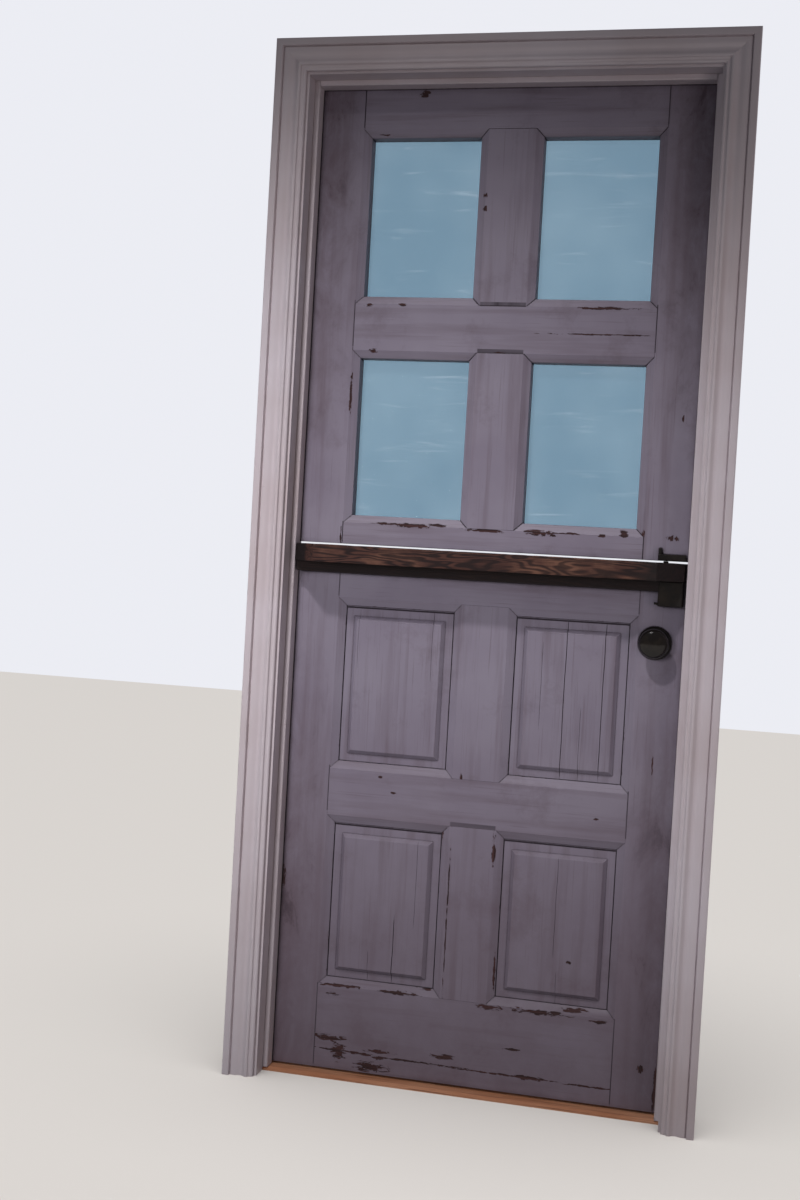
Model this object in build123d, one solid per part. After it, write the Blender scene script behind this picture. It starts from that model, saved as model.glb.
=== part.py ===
"""Dutch stable door with its frame: two leaves, shelf, latch, joining bolt and casing.

Millimetres, +Z up. X runs across the door with the hinge side at -X, +Y points away
from the room side. The origin is on the floor, at mid width, in the plane of the wall's
room face. Both leaves swing away from the room, towards +Y.
"""
import os

from build123d import *

# Leaves
LEAF_W = 813.0
LEAF_T = 44.0
FLOOR_GAP = 12.0
EDGE_GAP = 3.0
MEET_GAP = 4.0

# Face widths of the members, between the sticking's outer edges
STILE = 98.0
MUNTIN = 96.0
TOP_RAIL = 89.0
MID_RAIL = 95.0
MEETING_RAIL = 44.0
LOCK_RAIL = 97.0
LOWER_TOP_RAIL = 107.0
BOTTOM_RAIL = 174.0
ROW_H = 355.5

# Sticking, a plain bevel worked on every member and mitred in the corners
STICK_W = 16.0
STICK_D = 8.0
STICK_LAND = 1.0

# Joints in the wood
TENON_T = 14.0
TENON_L = 60.0
STUB_L = 24.0
TENON_SHY = 12.0
TENON_FIT = 0.15

# Glazing
REBATE_W = 8.0
GLASS_T = 3.0
PUTTY_D = 6.6
GLASS_FIT = 1.0

# Raised panels
GROOVE_W = 12.0
GROOVE_D = 12.0
GROOVE_FIT = 0.3
SHRINK = 1.5
PANEL_DROP = 2.5
MARGIN = 18.0
FIELD_SLOPE = 8.0
FIELD_SET = 1.0

# Frame
JAMB_D = 114.0
JAMB_T = 20.0
HOUSING = 8.0
STOP_T = 11.0
STOP_D = 30.0
STOP_GAP = 0.6
STOP_EASE = 3.0
CASING_W = 64.0
CASING_T = 18.0
REVEAL = 5.0
THRESHOLD_T = 7.0
FIX_COUNT = 4
FIX_FIRST = 380.0
FIX_TOP_INSET = 227.0
FIX_R = 2.75

# Hinges
HINGE_H = 89.0
HINGE_W = 27.0
HINGE_T = 2.4
KNUCKLE_R = 5.0
KNUCKLE_OFF = 0.3
KNUCKLES = 5
KNUCKLE_GAP = 0.4
PIN_R = 2.5
RUN_FIT = 0.05
HINGE_TOP_INSET = 150.0
HINGE_MEET_INSET = 130.0
HINGE_FOOT_INSET = 200.0
SCREW_R = 2.0
SCREW_HEAD_R = 4.0
SCREW_L = 18.0
SCREW_ROW = 14.0

# Shelf
PLANK_D = 89.0
PLANK_T = 36.0
PLANK_CLIP = 50.0
PLANK_CLEAR = 5.0
PLANK_EASE = 1.5
BATTEN_H = 20.0
BATTEN_D = 30.0

# Joining bolt, its case under the plank and its keeper on the upper leaf
CASE_W = 47.0
CASE_H = 49.0
CASE_D = 32.0
CASE_INSET = 6.5
CASE_EASE = 2.0
BOLT_R = 5.0
BOLT_SIDE = 10.5
BOLT_OUT = 14.0
BOLT_TRAVEL = 21.0
BOLT_SHY = 0.6
STUD_R = 2.5
STUD_OUT = 8.0
STUD_RISE = 2.0
SLOT_FIT = 0.3
KEEPER_W = 53.0
KEEPER_H = 12.0
KEEPER_D = 26.0
KEEPER_PLAY = 2.5
LUG_W = 5.0
LUG_H = 12.0

# Knobs and mortice latch
KNOB_DROP = 159.0
BACKSET = 64.0
KNOB_R = 29.0
KNOB_D = 30.0
NECK_R = 9.0
NECK_L = 20.0
ROSE_R = 32.5
ROSE_T = 6.0
SPINDLE = 8.0
HUB_R = 9.0
LATCH_CASE_D = 85.0
LATCH_CASE_H = 75.0
LATCH_CASE_T = 14.0
LATCH_WALL = 1.5
FACEPLATE_H = 110.0
FACEPLATE_W = 20.0
FACEPLATE_T = 2.5
LATCH_H = 16.0
LATCH_T = 10.0
LATCH_SET = 0.5
LATCH_FIT = 0.15
STRIKE_H = 70.0
STRIKE_W = 24.0
STRIKE_T = 1.6
STRIKE_HOLE_FIT = 1.2

# Planes and edges that follow from the sizes above
FACE_Y = JAMB_D - LEAF_T
BACK_Y = JAMB_D
MID_Y = (FACE_Y + BACK_Y) / 2
HALF_W = LEAF_W / 2
JAMB_X = HALF_W + EDGE_GAP
STOP_X = JAMB_X - STOP_T
CELL_OUT = HALF_W - STILE
CELL_IN = MUNTIN / 2
LOWER_TOP = FLOOR_GAP + BOTTOM_RAIL + LOCK_RAIL + LOWER_TOP_RAIL + 2 * ROW_H
UPPER_Z = LOWER_TOP + MEET_GAP
DOOR_TOP = UPPER_Z + MEETING_RAIL + MID_RAIL + TOP_RAIL + 2 * ROW_H
HEAD_Z = DOOR_TOP + EDGE_GAP
FIX_PITCH = (HEAD_Z - FIX_TOP_INSET - FIX_FIRST) / (FIX_COUNT - 1)
GLASS_Y = BACK_Y - GLASS_T - PUTTY_D - 0.4
GROOVE_Y = FACE_Y + STICK_D + STICK_LAND
PIN_X = -(HALF_W + EDGE_GAP / 2)
PIN_Y = BACK_Y + KNUCKLE_R + KNUCKLE_OFF
PLANK_X = STOP_X - PLANK_CLEAR
PLANK_Z = LOWER_TOP - PLANK_T
CASE_X1 = STOP_X - CASE_INSET
CASE_X0 = CASE_X1 - CASE_W
BOLT_X = CASE_X0 + BOLT_SIDE
BOLT_Y = FACE_Y - BOLT_OUT
BOLT_TIP = UPPER_Z - BOLT_SHY
KNOB_X = HALF_W - BACKSET
KNOB_Z = LOWER_TOP - KNOB_DROP

NODES = {}


def keep(name, shape):
    """Register one piece under its node name."""
    NODES[name] = shape
    return shape


def slab(x0, x1, y0, y1, z0, z1):
    """A box between two corners."""
    size = Box(x1 - x0, y1 - y0, z1 - z0)
    return Pos((x0 + x1) / 2, (y0 + y1) / 2, (z0 + z1) / 2) * size


def prism_xz(points, y0, y1):
    """An outline in the XZ plane carried through from y0 to y1."""
    face = make_face(Polyline(*[(x, y0, z) for x, z in points], close=True))
    return extrude(face, amount=y1 - y0, dir=(0, 1, 0))


def rod(x, y, z0, z1, r):
    """An upright round bar."""
    return Pos(x, y, z0) * Cylinder(r, z1 - z0, align=(Align.CENTER, Align.CENTER, Align.MIN))


# Joinery

def bevel_points(kind):
    """Section of the sticking: u from the flat into the opening, then depth in Y."""
    if kind == "glazed":
        return [(0, FACE_Y), (STICK_W, FACE_Y + STICK_D), (STICK_W, GLASS_Y),
                (STICK_W - REBATE_W, GLASS_Y), (STICK_W - REBATE_W, BACK_Y), (0, BACK_Y)]
    inner = STICK_W - GROOVE_D
    return [(0, FACE_Y), (STICK_W, FACE_Y + STICK_D), (STICK_W, GROOVE_Y), (inner, GROOVE_Y),
            (inner, GROOVE_Y + GROOVE_W), (STICK_W, GROOVE_Y + GROOVE_W),
            (STICK_W, BACK_Y), (0, BACK_Y)]


def sticking(cell, side, kind):
    """The moulded strip that one member shows along one side of an opening.

    The section runs the side's length and both ends are cut to the mitre, so four
    strips on four members close round the opening.
    """
    x0, x1, z0, z1 = cell
    cx = (x0 + x1) / 2
    cz = (z0 + z1) / 2
    upright = side in ("left", "right")
    length = (z1 - z0) if upright else (x1 - x0)
    reach = ((x1 - x0) if upright else (z1 - z0)) / 2
    half = length / 2
    section = Polyline(*[(-half, y, u - reach) for u, y in bevel_points(kind)], close=True)
    strip = extrude(make_face(section), amount=length, dir=(1, 0, 0))
    mitre = [(-half, -reach), (half, -reach), (half - STICK_W, STICK_W - reach),
             (STICK_W - half, STICK_W - reach)]
    strip = strip & prism_xz(mitre, FACE_Y - 1, BACK_Y + 1)
    turn = {"bottom": 0, "left": 90, "top": 180, "right": 270}[side]
    return Pos(cx, 0, cz) * Rot(0, turn, 0) * strip


def member(x0, x1, z0, z1, edges):
    """A stile, rail or muntin: its flat core and the sticking on each listed edge."""
    body = slab(x0, x1, FACE_Y, BACK_Y, z0, z1)
    for cell, side, kind in edges:
        body = body + sticking(cell, side, kind)
    return body


def rail_tenons(z0, z1):
    """Tenons on both ends of a rail."""
    shy = min(TENON_SHY, (z1 - z0) / 4)
    y0 = MID_Y - TENON_T / 2
    out = CELL_OUT + TENON_L
    return [slab(s * CELL_OUT if s > 0 else -out, out if s > 0 else -CELL_OUT,
                 y0, y0 + TENON_T, z0 + shy, z1 - shy) for s in (-1, 1)]


def muntin_tenons(z0, z1, into_low, into_high):
    """Stub tenons on both ends of a muntin."""
    y0 = MID_Y - TENON_T / 2
    half = CELL_IN - TENON_SHY
    return [slab(-half, half, y0, y0 + TENON_T, z0 - into_low, z0),
            slab(-half, half, y0, y0 + TENON_T, z1, z1 + into_high)]


def mortised(body, tenons):
    """Cut a mortice for each tenon, a little longer than the tenon."""
    for tenon in tenons:
        b = tenon.bounding_box()
        fit = TENON_FIT
        body = body - slab(b.min.X - fit, b.max.X + fit, b.min.Y - fit, b.max.Y + fit,
                           b.min.Z - fit, b.max.Z + fit)
    return body


def leaf_joinery(prefix, z0, rails, kind):
    """Stiles, rails and muntins of one leaf, from a list of rail names and widths."""
    levels = []
    z = z0
    for index, (name, width) in enumerate(rails):
        levels.append((name, z, z + width))
        z += width + (ROW_H if index < len(rails) - 1 else 0)
    top = z
    cells = {}
    for row in range(len(levels) - 1):
        low = levels[row][2]
        high = levels[row + 1][1]
        cells[row, 0] = (-CELL_OUT, -CELL_IN, low, high)
        cells[row, 1] = (CELL_IN, CELL_OUT, low, high)

    tenons = {name: rail_tenons(a, b) for name, a, b in levels}
    stubs = {}
    for row in range(len(levels) - 1):
        low = min(STUB_L, (levels[row][2] - levels[row][1]) / 2)
        high = min(STUB_L, (levels[row + 1][2] - levels[row + 1][1]) / 2)
        stubs[row] = muntin_tenons(levels[row][2], levels[row + 1][1], low, high)

    for index, (name, a, b) in enumerate(levels):
        edges = []
        for column in (0, 1):
            if index < len(levels) - 1:
                edges.append((cells[index, column], "bottom", kind))
            if index > 0:
                edges.append((cells[index - 1, column], "top", kind))
        rail = member(-CELL_OUT, CELL_OUT, a, b, edges)
        if index < len(levels) - 1:
            rail = mortised(rail, [stubs[index][0]])
        if index > 0:
            rail = mortised(rail, [stubs[index - 1][1]])
        for tenon in tenons[name]:
            rail = rail + tenon
        keep(name, rail)

    for row in range(len(levels) - 1):
        low = levels[row][2]
        high = levels[row + 1][1]
        edges = [(cells[row, 0], "right", kind), (cells[row, 1], "left", kind)]
        muntin = member(-CELL_IN, CELL_IN, low, high, edges)
        for stub in stubs[row]:
            muntin = muntin + stub
        keep(f"{prefix}_muntin_{row + 1}", muntin)

    for sign, side, column, label in ((-1, "left", 0, "hinge"), (1, "right", 1, "latch")):
        edges = [(cells[row, column], side, kind) for row in range(len(levels) - 1)]
        x0, x1 = sorted((sign * CELL_OUT, sign * HALF_W))
        stile = member(x0, x1, z0, top, edges)
        both = [tenons[name][(sign + 1) // 2] for name, a, b in levels]
        keep(f"{prefix}_{label}_stile", mortised(stile, both))
    return cells


def glazing(cells):
    """Four panes bedded in the back rebates, each held by a ring of putty."""
    rings = {0: [], 1: []}
    for number, key in enumerate(sorted(cells), 1):
        x0, x1, z0, z1 = cells[key]
        cx = (x0 + x1) / 2
        cz = (z0 + z1) / 2
        rebate = STICK_W - REBATE_W
        rw = x1 - x0 - 2 * rebate
        rh = z1 - z0 - 2 * rebate
        pane = Box(rw - 2 * GLASS_FIT, GLASS_T, rh - 2 * GLASS_FIT)
        keep(f"glass_pane_{number}", Pos(cx, GLASS_Y + GLASS_T / 2, cz) * pane)
        start = Plane(origin=(cx, GLASS_Y + GLASS_T, cz), x_dir=(1, 0, 0), z_dir=(0, 1, 0))
        finish = Plane(origin=(cx, GLASS_Y + GLASS_T + PUTTY_D, cz), x_dir=(1, 0, 0),
                       z_dir=(0, 1, 0))
        block = extrude(start * Rectangle(rw, rh), amount=PUTTY_D)
        core = loft([start * Rectangle(rw - 2 * REBATE_W, rh - 2 * REBATE_W),
                     finish * Rectangle(rw - 1, rh - 1)])
        rings[key[0]].append(block - core)
    keep("lower_row_putty", Compound(children=rings[0]))
    keep("upper_row_putty", Compound(children=rings[1]))


def raised_panels(cells):
    """Raised and fielded panels: a tongue all round, a flat margin and a bevelled field."""
    for number, key in enumerate(sorted(cells), 1):
        x0, x1, z0, z1 = cells[key]
        cx = (x0 + x1) / 2
        bed = STICK_W - GROOVE_D
        tongue_w = x1 - x0 - 2 * (bed + SHRINK)
        foot = z0 + bed + GROOVE_FIT
        tongue_h = z1 - z0 - 2 * bed - 2 * PANEL_DROP - GROOVE_FIT
        cz = foot + tongue_h / 2
        y0 = GROOVE_Y + GROOVE_FIT
        tongue = slab(cx - tongue_w / 2, cx + tongue_w / 2, y0, y0 + GROOVE_W - 2 * GROOVE_FIT,
                      foot, foot + tongue_h)
        inset = STICK_W + MARGIN
        base_w = x1 - x0 - 2 * inset
        base_h = z1 - z0 - 2 * inset
        rise = y0 - FACE_Y - FIELD_SET
        back = Plane(origin=(cx, y0, cz), x_dir=(1, 0, 0), z_dir=(0, -1, 0))
        front = Plane(origin=(cx, y0 - rise, cz), x_dir=(1, 0, 0), z_dir=(0, -1, 0))
        field = loft([back * Rectangle(base_w, base_h),
                      front * Rectangle(base_w - 2 * FIELD_SLOPE, base_h - 2 * FIELD_SLOPE)])
        keep(f"raised_panel_{number}", tongue + field)


# Hinges

def screw(x, y, z, sign, grow=0.0):
    """A countersunk screw driven along X; sign is the way it is driven."""
    head = Cone(SCREW_HEAD_R + grow, SCREW_R + grow, HINGE_T,
                align=(Align.CENTER, Align.CENTER, Align.MIN))
    shank = Pos(0, 0, HINGE_T) * Cylinder(SCREW_R + grow, SCREW_L - HINGE_T + grow,
                                          align=(Align.CENTER, Align.CENTER, Align.MIN))
    return Pos(x, y, z) * Rot(0, 90 * sign, 0) * (head + shank)


def screw_spots(zc):
    """Places of the three screws of one hinge leaf, staggered in Y."""
    mid = BACK_Y - HINGE_W / 2
    return [(mid - 3, zc + SCREW_ROW * 2), (mid + 3, zc), (mid - 3, zc - SCREW_ROW * 2)]


def hinge_leaf(zc, fixed):
    """One leaf of a butt hinge with its own share of the knuckles."""
    wood = -JAMB_X if fixed else -HALF_W
    x0, x1 = (wood - HINGE_T, wood) if fixed else (wood, wood + HINGE_T)
    z0 = zc - HINGE_H / 2
    step = HINGE_H / KNUCKLES
    clear = PIN_Y - KNUCKLE_R - 0.5
    leaf = slab(x0, x1, BACK_Y - HINGE_W, clear, z0, z0 + HINGE_H)
    first = 0 if fixed else 1
    for index in range(first, KNUCKLES, 2):
        low = z0 + index * step + KNUCKLE_GAP / 2
        high = z0 + (index + 1) * step - KNUCKLE_GAP / 2
        leaf = leaf + slab(x0, x1, clear, PIN_Y, low, high)
        leaf = leaf + rod(PIN_X, PIN_Y, low, high, KNUCKLE_R)
    leaf = leaf - rod(PIN_X, PIN_Y, z0 - 1, z0 + HINGE_H + 1, PIN_R + RUN_FIT)
    for y, z in screw_spots(zc):
        leaf = leaf - screw(wood, y, z, -1 if fixed else 1, 0.05)
    return leaf


def hinge_pin(zc):
    """The pin, with a low button head that rests on the top knuckle."""
    half = HINGE_H / 2
    pin = rod(PIN_X, PIN_Y, zc - half - 1.5, zc + half, PIN_R)
    head = rod(PIN_X, PIN_Y, zc + half - KNUCKLE_GAP / 2, zc + half + 3, KNUCKLE_R - 0.8)
    return pin + chamfer(head.edges().group_by(Axis.Z)[-1], 1.2)


HINGE_Z = {
    "upper": (DOOR_TOP - HINGE_TOP_INSET, UPPER_Z + HINGE_MEET_INSET),
    "lower": (LOWER_TOP - HINGE_MEET_INSET, FLOOR_GAP + HINGE_FOOT_INSET),
}


def hinges():
    """Two butt hinges a leaf, let into the jamb and the hinge stile."""
    jamb = NODES["hinge_jamb"]
    jamb_screws = []
    pins = []
    for leaf, heights in HINGE_Z.items():
        stile = NODES[f"{leaf}_hinge_stile"]
        stile_screws = []
        for number, zc in enumerate(heights, 1):
            z0 = zc - HINGE_H / 2
            keep(f"{leaf}_hinge_{number}_jamb_side", hinge_leaf(zc, True))
            keep(f"{leaf}_hinge_{number}_door_side", hinge_leaf(zc, False))
            pins.append(hinge_pin(zc))
            bed_y = BACK_Y - HINGE_W
            jamb = jamb - slab(-JAMB_X - HINGE_T, -JAMB_X + 1, bed_y, BACK_Y + 1,
                               z0, z0 + HINGE_H)
            stile = stile - slab(-HALF_W - 1, -HALF_W + HINGE_T, bed_y, BACK_Y + 1,
                                 z0, z0 + HINGE_H)
            for y, z in screw_spots(zc):
                jamb_screws.append(screw(-JAMB_X, y, z, -1))
                stile_screws.append(screw(-HALF_W, y, z, 1))
                jamb = jamb - screw(-JAMB_X, y, z, -1, 0.05)
                stile = stile - screw(-HALF_W, y, z, 1, 0.05)
        keep(f"{leaf}_hinge_screws", Compound(children=stile_screws))
        NODES[f"{leaf}_hinge_stile"] = stile
    keep("hinge_pins", Compound(children=pins))
    keep("jamb_hinge_screws", Compound(children=jamb_screws))
    NODES["hinge_jamb"] = jamb


# Frame

def jambs():
    """Side jambs with fixing holes, and the head housed between them."""
    top = HEAD_Z + JAMB_T
    for sign, name in ((-1, "hinge_jamb"), (1, "latch_jamb")):
        x0, x1 = sorted((sign * JAMB_X, sign * (JAMB_X + JAMB_T)))
        jamb = slab(x0, x1, 0, JAMB_D, 0, top)
        h0, h1 = sorted((sign * (JAMB_X - 1), sign * (JAMB_X + HOUSING)))
        jamb = jamb - slab(h0, h1, -1, JAMB_D + 1, HEAD_Z, top + 1)
        for index in range(FIX_COUNT):
            hole = Rot(0, 90, 0) * Cylinder(FIX_R, 3 * JAMB_T)
            x = sign * (JAMB_X + JAMB_T / 2)
            jamb = jamb - Pos(x, MID_Y, FIX_FIRST + index * FIX_PITCH) * hole
        keep(name, jamb)
    half = JAMB_X + HOUSING
    keep("head_jamb", slab(-half, half, 0, JAMB_D, HEAD_Z, top))


def stops():
    """Stop strips in front of the leaves, eased on the room side."""
    y1 = FACE_Y - STOP_GAP
    y0 = y1 - STOP_D
    for sign, name in ((-1, "hinge_stop"), (1, "latch_stop")):
        x0, x1 = sorted((sign * STOP_X, sign * JAMB_X))
        strip = slab(x0, x1, y0, y1, THRESHOLD_T, HEAD_Z)
        edge = strip.edges().filter_by(Axis.Z).sort_by(Axis.Y)[:2]
        inner = edge.sort_by(Axis.X)[0 if sign > 0 else -1]
        keep(name, fillet(inner, STOP_EASE))
    head = slab(-STOP_X, STOP_X, y0, y1, HEAD_Z - STOP_T, HEAD_Z)
    low = head.edges().filter_by(Axis.X).sort_by(Axis.Y)[:2].sort_by(Axis.Z)[0]
    keep("head_stop", fillet(low, STOP_EASE))


def casing_section():
    """Moulded section of the casing: u from the inner edge outwards, thickness along -Y."""
    w = CASING_W
    t = CASING_T
    outline = [
        Line((0, 0), (0, 0.50 * t)),
        RadiusArc((0, 0.50 * t), (3, 0.66 * t), 3.2),
        Line((3, 0.66 * t), (9, 0.66 * t)),
        Line((9, 0.66 * t), (9, 0.74 * t)),
        RadiusArc((9, 0.74 * t), (24, 0.84 * t), -45),
        Line((24, 0.84 * t), (26, 0.78 * t)),
        Line((26, 0.78 * t), (28, 0.84 * t)),
        Line((28, 0.84 * t), (w - 22, 0.90 * t)),
        Line((w - 22, 0.90 * t), (w - 20, 0.82 * t)),
        RadiusArc((w - 20, 0.82 * t), (w - 12, t), 12),
        Line((w - 12, t), (w - 3, t)),
        RadiusArc((w - 3, t), (w, t - 3), 3),
        Line((w, t - 3), (w, 0)),
        Line((w, 0), (0, 0)),
    ]
    return make_face(Wire(outline))


def casing():
    """Two legs and a head, mitred at the top corners."""
    inner = JAMB_X + REVEAL
    outer = inner + CASING_W
    low = HEAD_Z + REVEAL
    high = low + CASING_W
    section = casing_section()
    for sign, name in ((-1, "hinge_casing"), (1, "latch_casing")):
        plane = Plane(origin=(sign * inner, 0, 0), x_dir=(sign, 0, 0), z_dir=(0, 0, -sign))
        leg = extrude(plane * section, amount=-sign * high)
        outline = [(sign * (inner - 1), 0), (sign * (outer + 1), 0),
                   (sign * (outer + 1), high + 1), (sign * (inner - 1), low - 1)]
        keep(name, leg & prism_xz(outline, -CASING_T - 1, 1))
    plane = Plane(origin=(-outer, 0, low), x_dir=(0, 0, 1), z_dir=(1, 0, 0))
    head = extrude(plane * section, amount=2 * outer)
    outline = [(-inner + 1, low - 1), (inner - 1, low - 1), (outer + 1, high + 1),
               (-outer - 1, high + 1)]
    keep("head_casing", head & prism_xz(outline, -CASING_T - 1, 1))


def threshold():
    """Low oak strip between the jambs, bevelled towards the room."""
    y0 = FACE_Y - STOP_GAP - STOP_D
    strip = slab(-JAMB_X, JAMB_X, y0, JAMB_D, 0, THRESHOLD_T)
    nose = strip.edges().filter_by(Axis.X).group_by(Axis.Z)[-1].sort_by(Axis.Y)[0]
    keep("threshold", chamfer(nose, THRESHOLD_T * 0.5, THRESHOLD_T * 1.2))


# Shelf and joining bolt

def shelf():
    """Plank on the lower leaf with both front corners clipped, and the batten under it."""
    y0 = FACE_Y - PLANK_D
    x = PLANK_X
    c = PLANK_CLIP
    plan = Polyline((-x, FACE_Y), (-x, y0 + c), (-x + c, y0), (x - c, y0), (x, y0 + c),
                    (x, FACE_Y), close=True)
    plank = Pos(0, 0, PLANK_Z) * extrude(make_face(plan), amount=PLANK_T)
    top = plank.edges().group_by(Axis.Z)[-1].filter_by(lambda e: e.center().Y < FACE_Y - 1)
    low = plank.edges().group_by(Axis.Z)[0].filter_by(lambda e: e.center().Y < FACE_Y - 1)
    plank = chamfer(top + low, PLANK_EASE)
    plank = plank - rod(BOLT_X, BOLT_Y, PLANK_Z - 1, LOWER_TOP + 1, BOLT_R + RUN_FIT)
    keep("shelf_plank", plank)
    batten = slab(-x, CASE_X0, FACE_Y - BATTEN_D, FACE_Y, PLANK_Z - BATTEN_H, PLANK_Z)
    front = batten.edges().filter_by(Axis.X).group_by(Axis.Z)[0].sort_by(Axis.Y)[0]
    keep("shelf_batten", chamfer(front, PLANK_EASE))


def joining_bolt():
    """Iron case under the plank, the bolt it guides and the keeper above."""
    z0 = PLANK_Z - CASE_H
    case = slab(CASE_X0, CASE_X1, FACE_Y - CASE_D, FACE_Y, z0, PLANK_Z)
    front = case.faces().sort_by(Axis.Y)[0].edges()
    case = chamfer(front, CASE_EASE)
    case = case - rod(BOLT_X, BOLT_Y, z0 - 1, PLANK_Z + 1, BOLT_R + RUN_FIT)
    slot = STUD_R + SLOT_FIT
    stud_z = z0 + STUD_RISE + STUD_R
    slot_top = stud_z + BOLT_TRAVEL + STUD_R + SLOT_FIT
    case = case - slab(CASE_X0 - 1, BOLT_X, BOLT_Y - slot, BOLT_Y + slot, z0 - 1, slot_top)
    keep("bolt_case", case)

    bolt = rod(BOLT_X, BOLT_Y, z0 + STUD_RISE, BOLT_TIP, BOLT_R)
    bolt = chamfer(bolt.edges().group_by(Axis.Z)[-1], 1.0)
    length = BOLT_X - CASE_X0 + STUD_OUT
    stud = Cylinder(STUD_R, length, align=(Align.CENTER, Align.CENTER, Align.MIN))
    keep("joining_bolt", bolt + Pos(BOLT_X, BOLT_Y, stud_z) * Rot(0, -90, 0) * stud)

    x1 = STOP_X - CASE_INSET + 1.5
    x0 = x1 - KEEPER_W
    base = UPPER_Z + 0.4
    keeper = slab(x0, x1, FACE_Y - KEEPER_D, FACE_Y, base, base + KEEPER_H)
    keeper = chamfer(keeper.faces().sort_by(Axis.Y)[0].edges(), CASE_EASE / 2)
    keeper = keeper + slab(x0, x0 + LUG_W, FACE_Y - KEEPER_D / 2, FACE_Y,
                           base, base + KEEPER_H + LUG_H)
    keep("bolt_keeper", keeper - rod(BOLT_X, BOLT_Y, base - 1, base + KEEPER_H + 1,
                                     BOLT_R + KEEPER_PLAY))


# Knobs and latch

def knob(side):
    """A turned knob with its neck; side -1 faces the room and +1 the far side."""
    rim = (KNOB_R, NECK_L + KNOB_D * 0.48)
    brow = (KNOB_R * 0.76, NECK_L + KNOB_D * 0.85)
    cap = KNOB_D * 0.15
    cap_r = (brow[0] ** 2 + cap ** 2) / (2 * cap)
    crown = (0, NECK_L + KNOB_D)
    profile = [
        Line((0, 0), (NECK_R, 0)),
        Line((NECK_R, 0), (NECK_R, NECK_L)),
        ThreePointArc((NECK_R, NECK_L), (KNOB_R * 0.84, NECK_L + KNOB_D * 0.20), rim),
        ThreePointArc(rim, (KNOB_R * 0.94, NECK_L + KNOB_D * 0.70), brow),
        RadiusArc(brow, crown, -cap_r),
        Line(crown, (0, 0)),
    ]
    solid = revolve(make_face(Wire(profile)), axis=Axis.Y)
    wood = FACE_Y if side < 0 else BACK_Y
    turn = Rot(0, 0, 180) if side < 0 else Rot(0, 0, 0)
    placed = Pos(KNOB_X, wood + side * 0.3, KNOB_Z) * turn * solid
    half = SPINDLE / 2
    return placed - slab(KNOB_X - half, KNOB_X + half, FACE_Y - NECK_L, BACK_Y + NECK_L,
                         KNOB_Z - half, KNOB_Z + half)


def rose(side):
    """A turned rose round the neck, screwed to the stile."""
    profile = [
        Line((NECK_R + RUN_FIT, 0), (ROSE_R, 0)),
        Line((ROSE_R, 0), (ROSE_R, ROSE_T * 0.35)),
        RadiusArc((ROSE_R, ROSE_T * 0.35), (ROSE_R - 4, ROSE_T * 0.7), -6),
        Line((ROSE_R - 4, ROSE_T * 0.7), (NECK_R + 4, ROSE_T)),
        Line((NECK_R + 4, ROSE_T), (NECK_R + RUN_FIT, ROSE_T)),
        Line((NECK_R + RUN_FIT, ROSE_T), (NECK_R + RUN_FIT, 0)),
    ]
    solid = revolve(make_face(Wire(profile)), axis=Axis.Y)
    wood = FACE_Y if side < 0 else BACK_Y
    turn = Rot(0, 0, 180) if side < 0 else Rot(0, 0, 0)
    return Pos(KNOB_X, wood, KNOB_Z) * turn * solid


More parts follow.
